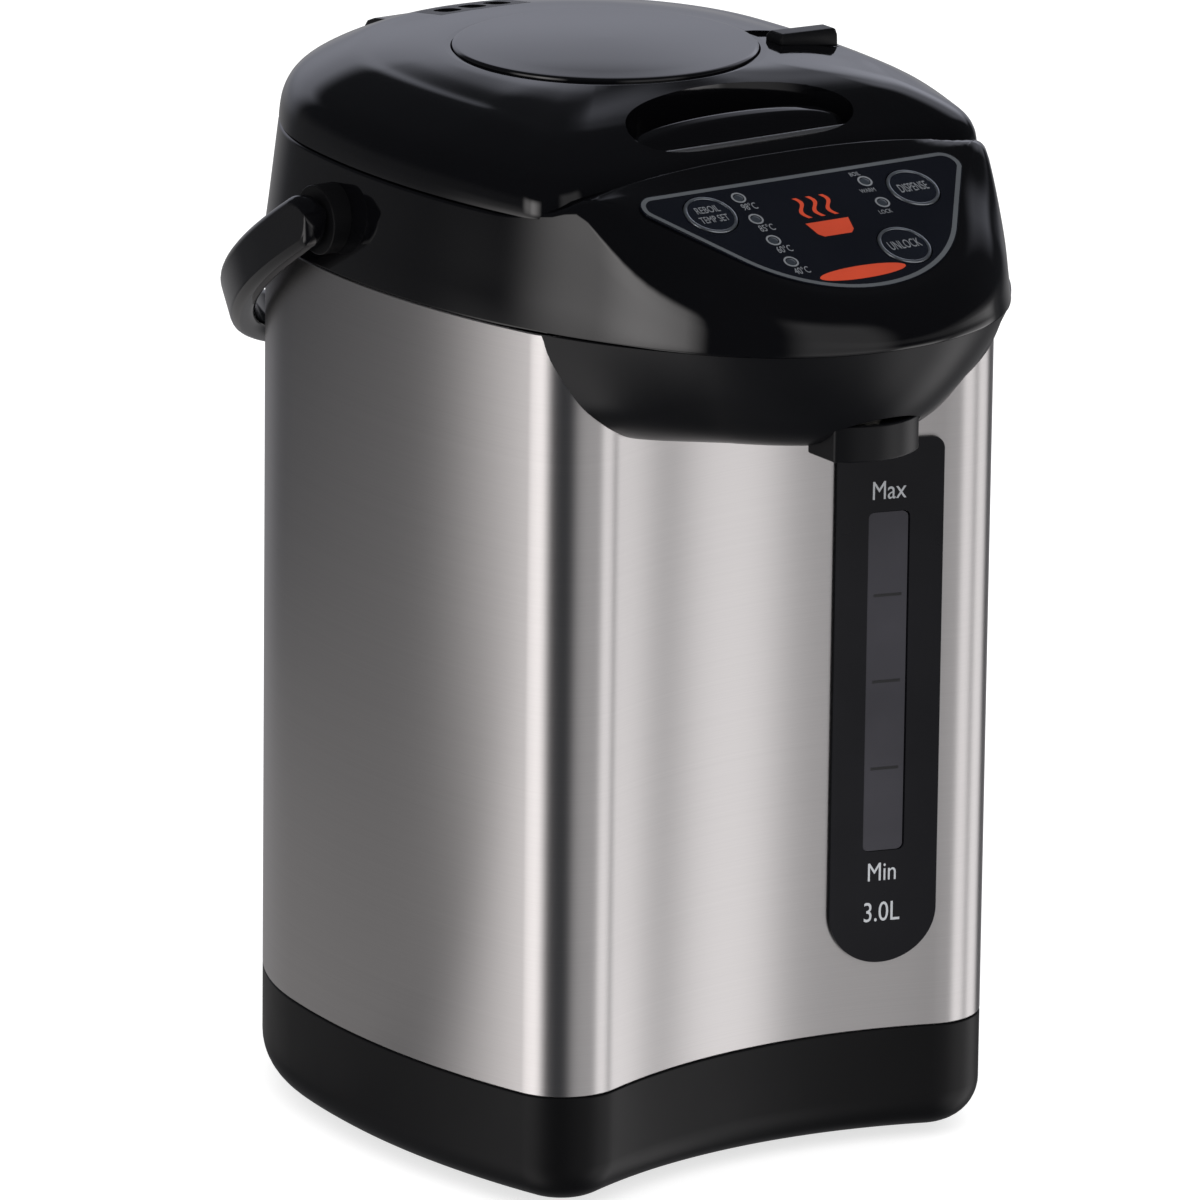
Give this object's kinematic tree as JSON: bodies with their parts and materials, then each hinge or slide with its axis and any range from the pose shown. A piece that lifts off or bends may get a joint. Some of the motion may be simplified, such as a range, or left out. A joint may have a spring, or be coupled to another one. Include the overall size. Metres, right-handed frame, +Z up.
{
  "type": "instant hot water dispenser",
  "caption": "Tall thermo pot with a steel jacket, hinged lid with air pump plate, carrying handle, water gauge and a spout under a sloping control panel.",
  "frame": {"origin": "on the table, under the axis of the round inner tank", "axes": "+Z up, the front with the spout faces -Y, and the water gauge is on the +X side"},
  "size_m": [0.226, 0.3003, 0.3502],
  "materials": {
    "satin_black": "satin",
    "gloss_black": "gloss",
    "steel": "brushed",
    "tank_steel": "satin",
    "rubber_black": "matte",
    "silicone": "matte",
    "pin_metal": "polished",
    "brass_pins": "satin",
    "board": "satin",
    "overlay": "gloss",
    "button": "gloss",
    "smoke_window": "gloss",
    "clear_tube": "gloss",
    "lens": "gloss",
    "heater": "satin",
    "white_plastic": "satin",
    "motor": "satin"
  },
  "bodies": {
    "body": {"base_shell": "satin_black", "bottom_cover": "satin_black", "feet": "rubber_black", "cover_screws": "pin_metal", "power_inlet": "satin_black", "inlet_pins": "brass_pins", "power_board": "board", "outer_jacket": "steel", "gauge_panel": "satin_black", "gauge_window": "smoke_window", "level_tube": "clear_tube", "inner_tank": "tank_steel", "heater_plate": "heater", "heating_element": "heater", "thermostat": "white_plastic", "pump_motor": "motor", "pump_housing": "white_plastic", "inlet_hose": "silicone", "riser_hose": "silicone", "outlet_pipe": "silicone", "upper_housing": "gloss_black", "spout_housing": "satin_black", "spout_nozzle": "satin_black", "panel_overlay": "overlay", "control_board": "board", "indicator_lenses": "lens", "hinge_pin": "pin_metal", "pivot_pins": "pin_metal"},
    "lid": {"lid_shell": "gloss_black", "lid_liner": "white_plastic", "lid_gasket": "silicone", "steam_vent": "satin_black", "latch_pin": "pin_metal", "air_bellows": "rubber_black", "plate_spring": "pin_metal"},
    "plate": {"pump_plate": "gloss_black"},
    "lock": {"pump_lock": "gloss_black"},
    "latch": {"lid_latch": "gloss_black"},
    "handle": {"handle": "gloss_black"},
    "dispense": {"dispense_button": "button"},
    "unlock": {"unlock_button": "button"},
    "reboil": {"reboil_button": "button"},
    "impeller": {"pump_impeller": "white_plastic"}
  },
  "joints": [
    {"name": "lid_hinge", "type": "hinge", "parent": "body", "child": "lid", "pos_m": [0, 0.097, 0.323], "axis": [-1, 0, 0], "range_deg": [0, 85]},
    {"name": "handle_pivot", "type": "hinge", "parent": "body", "child": "handle", "pos_m": [0, -0.009, 0.303], "axis": [1, 0, 0], "range_deg": [0, 120]},
    {"name": "air_pump_press", "type": "slide", "parent": "lid", "child": "plate", "axis": [0, 0, -1], "range_m": [0, 0.018], "stiffness_N_per_m": 600, "deforming": ["air_bellows", "plate_spring"]},
    {"name": "pump_lock_slide", "type": "slide", "parent": "lid", "child": "lock", "axis": [0, 1, 0], "range_m": [0, 0.012]},
    {"name": "lid_latch_lift", "type": "hinge", "parent": "lid", "child": "latch", "pos_m": [0, -0.097, 0.333], "axis": [1, 0, 0], "range_deg": [0, 20], "stiffness_Nm_per_rad": 0.4},
    {"name": "dispense_press", "type": "slide", "parent": "body", "child": "dispense", "axis": [0, 0.4384, -0.8988], "range_m": [0, 0.0008], "stiffness_N_per_m": 1500},
    {"name": "unlock_press", "type": "slide", "parent": "body", "child": "unlock", "axis": [0, 0.4384, -0.8988], "range_m": [0, 0.0008], "stiffness_N_per_m": 1500},
    {"name": "reboil_press", "type": "slide", "parent": "body", "child": "reboil", "axis": [0, 0.4384, -0.8988], "range_m": [0, 0.0008], "stiffness_N_per_m": 1500},
    {"name": "impeller_spin", "type": "hinge", "parent": "body", "child": "impeller", "pos_m": [0.02985, -0.06, 0.03], "axis": [0, 0, 1], "continuous": true}
  ]
}
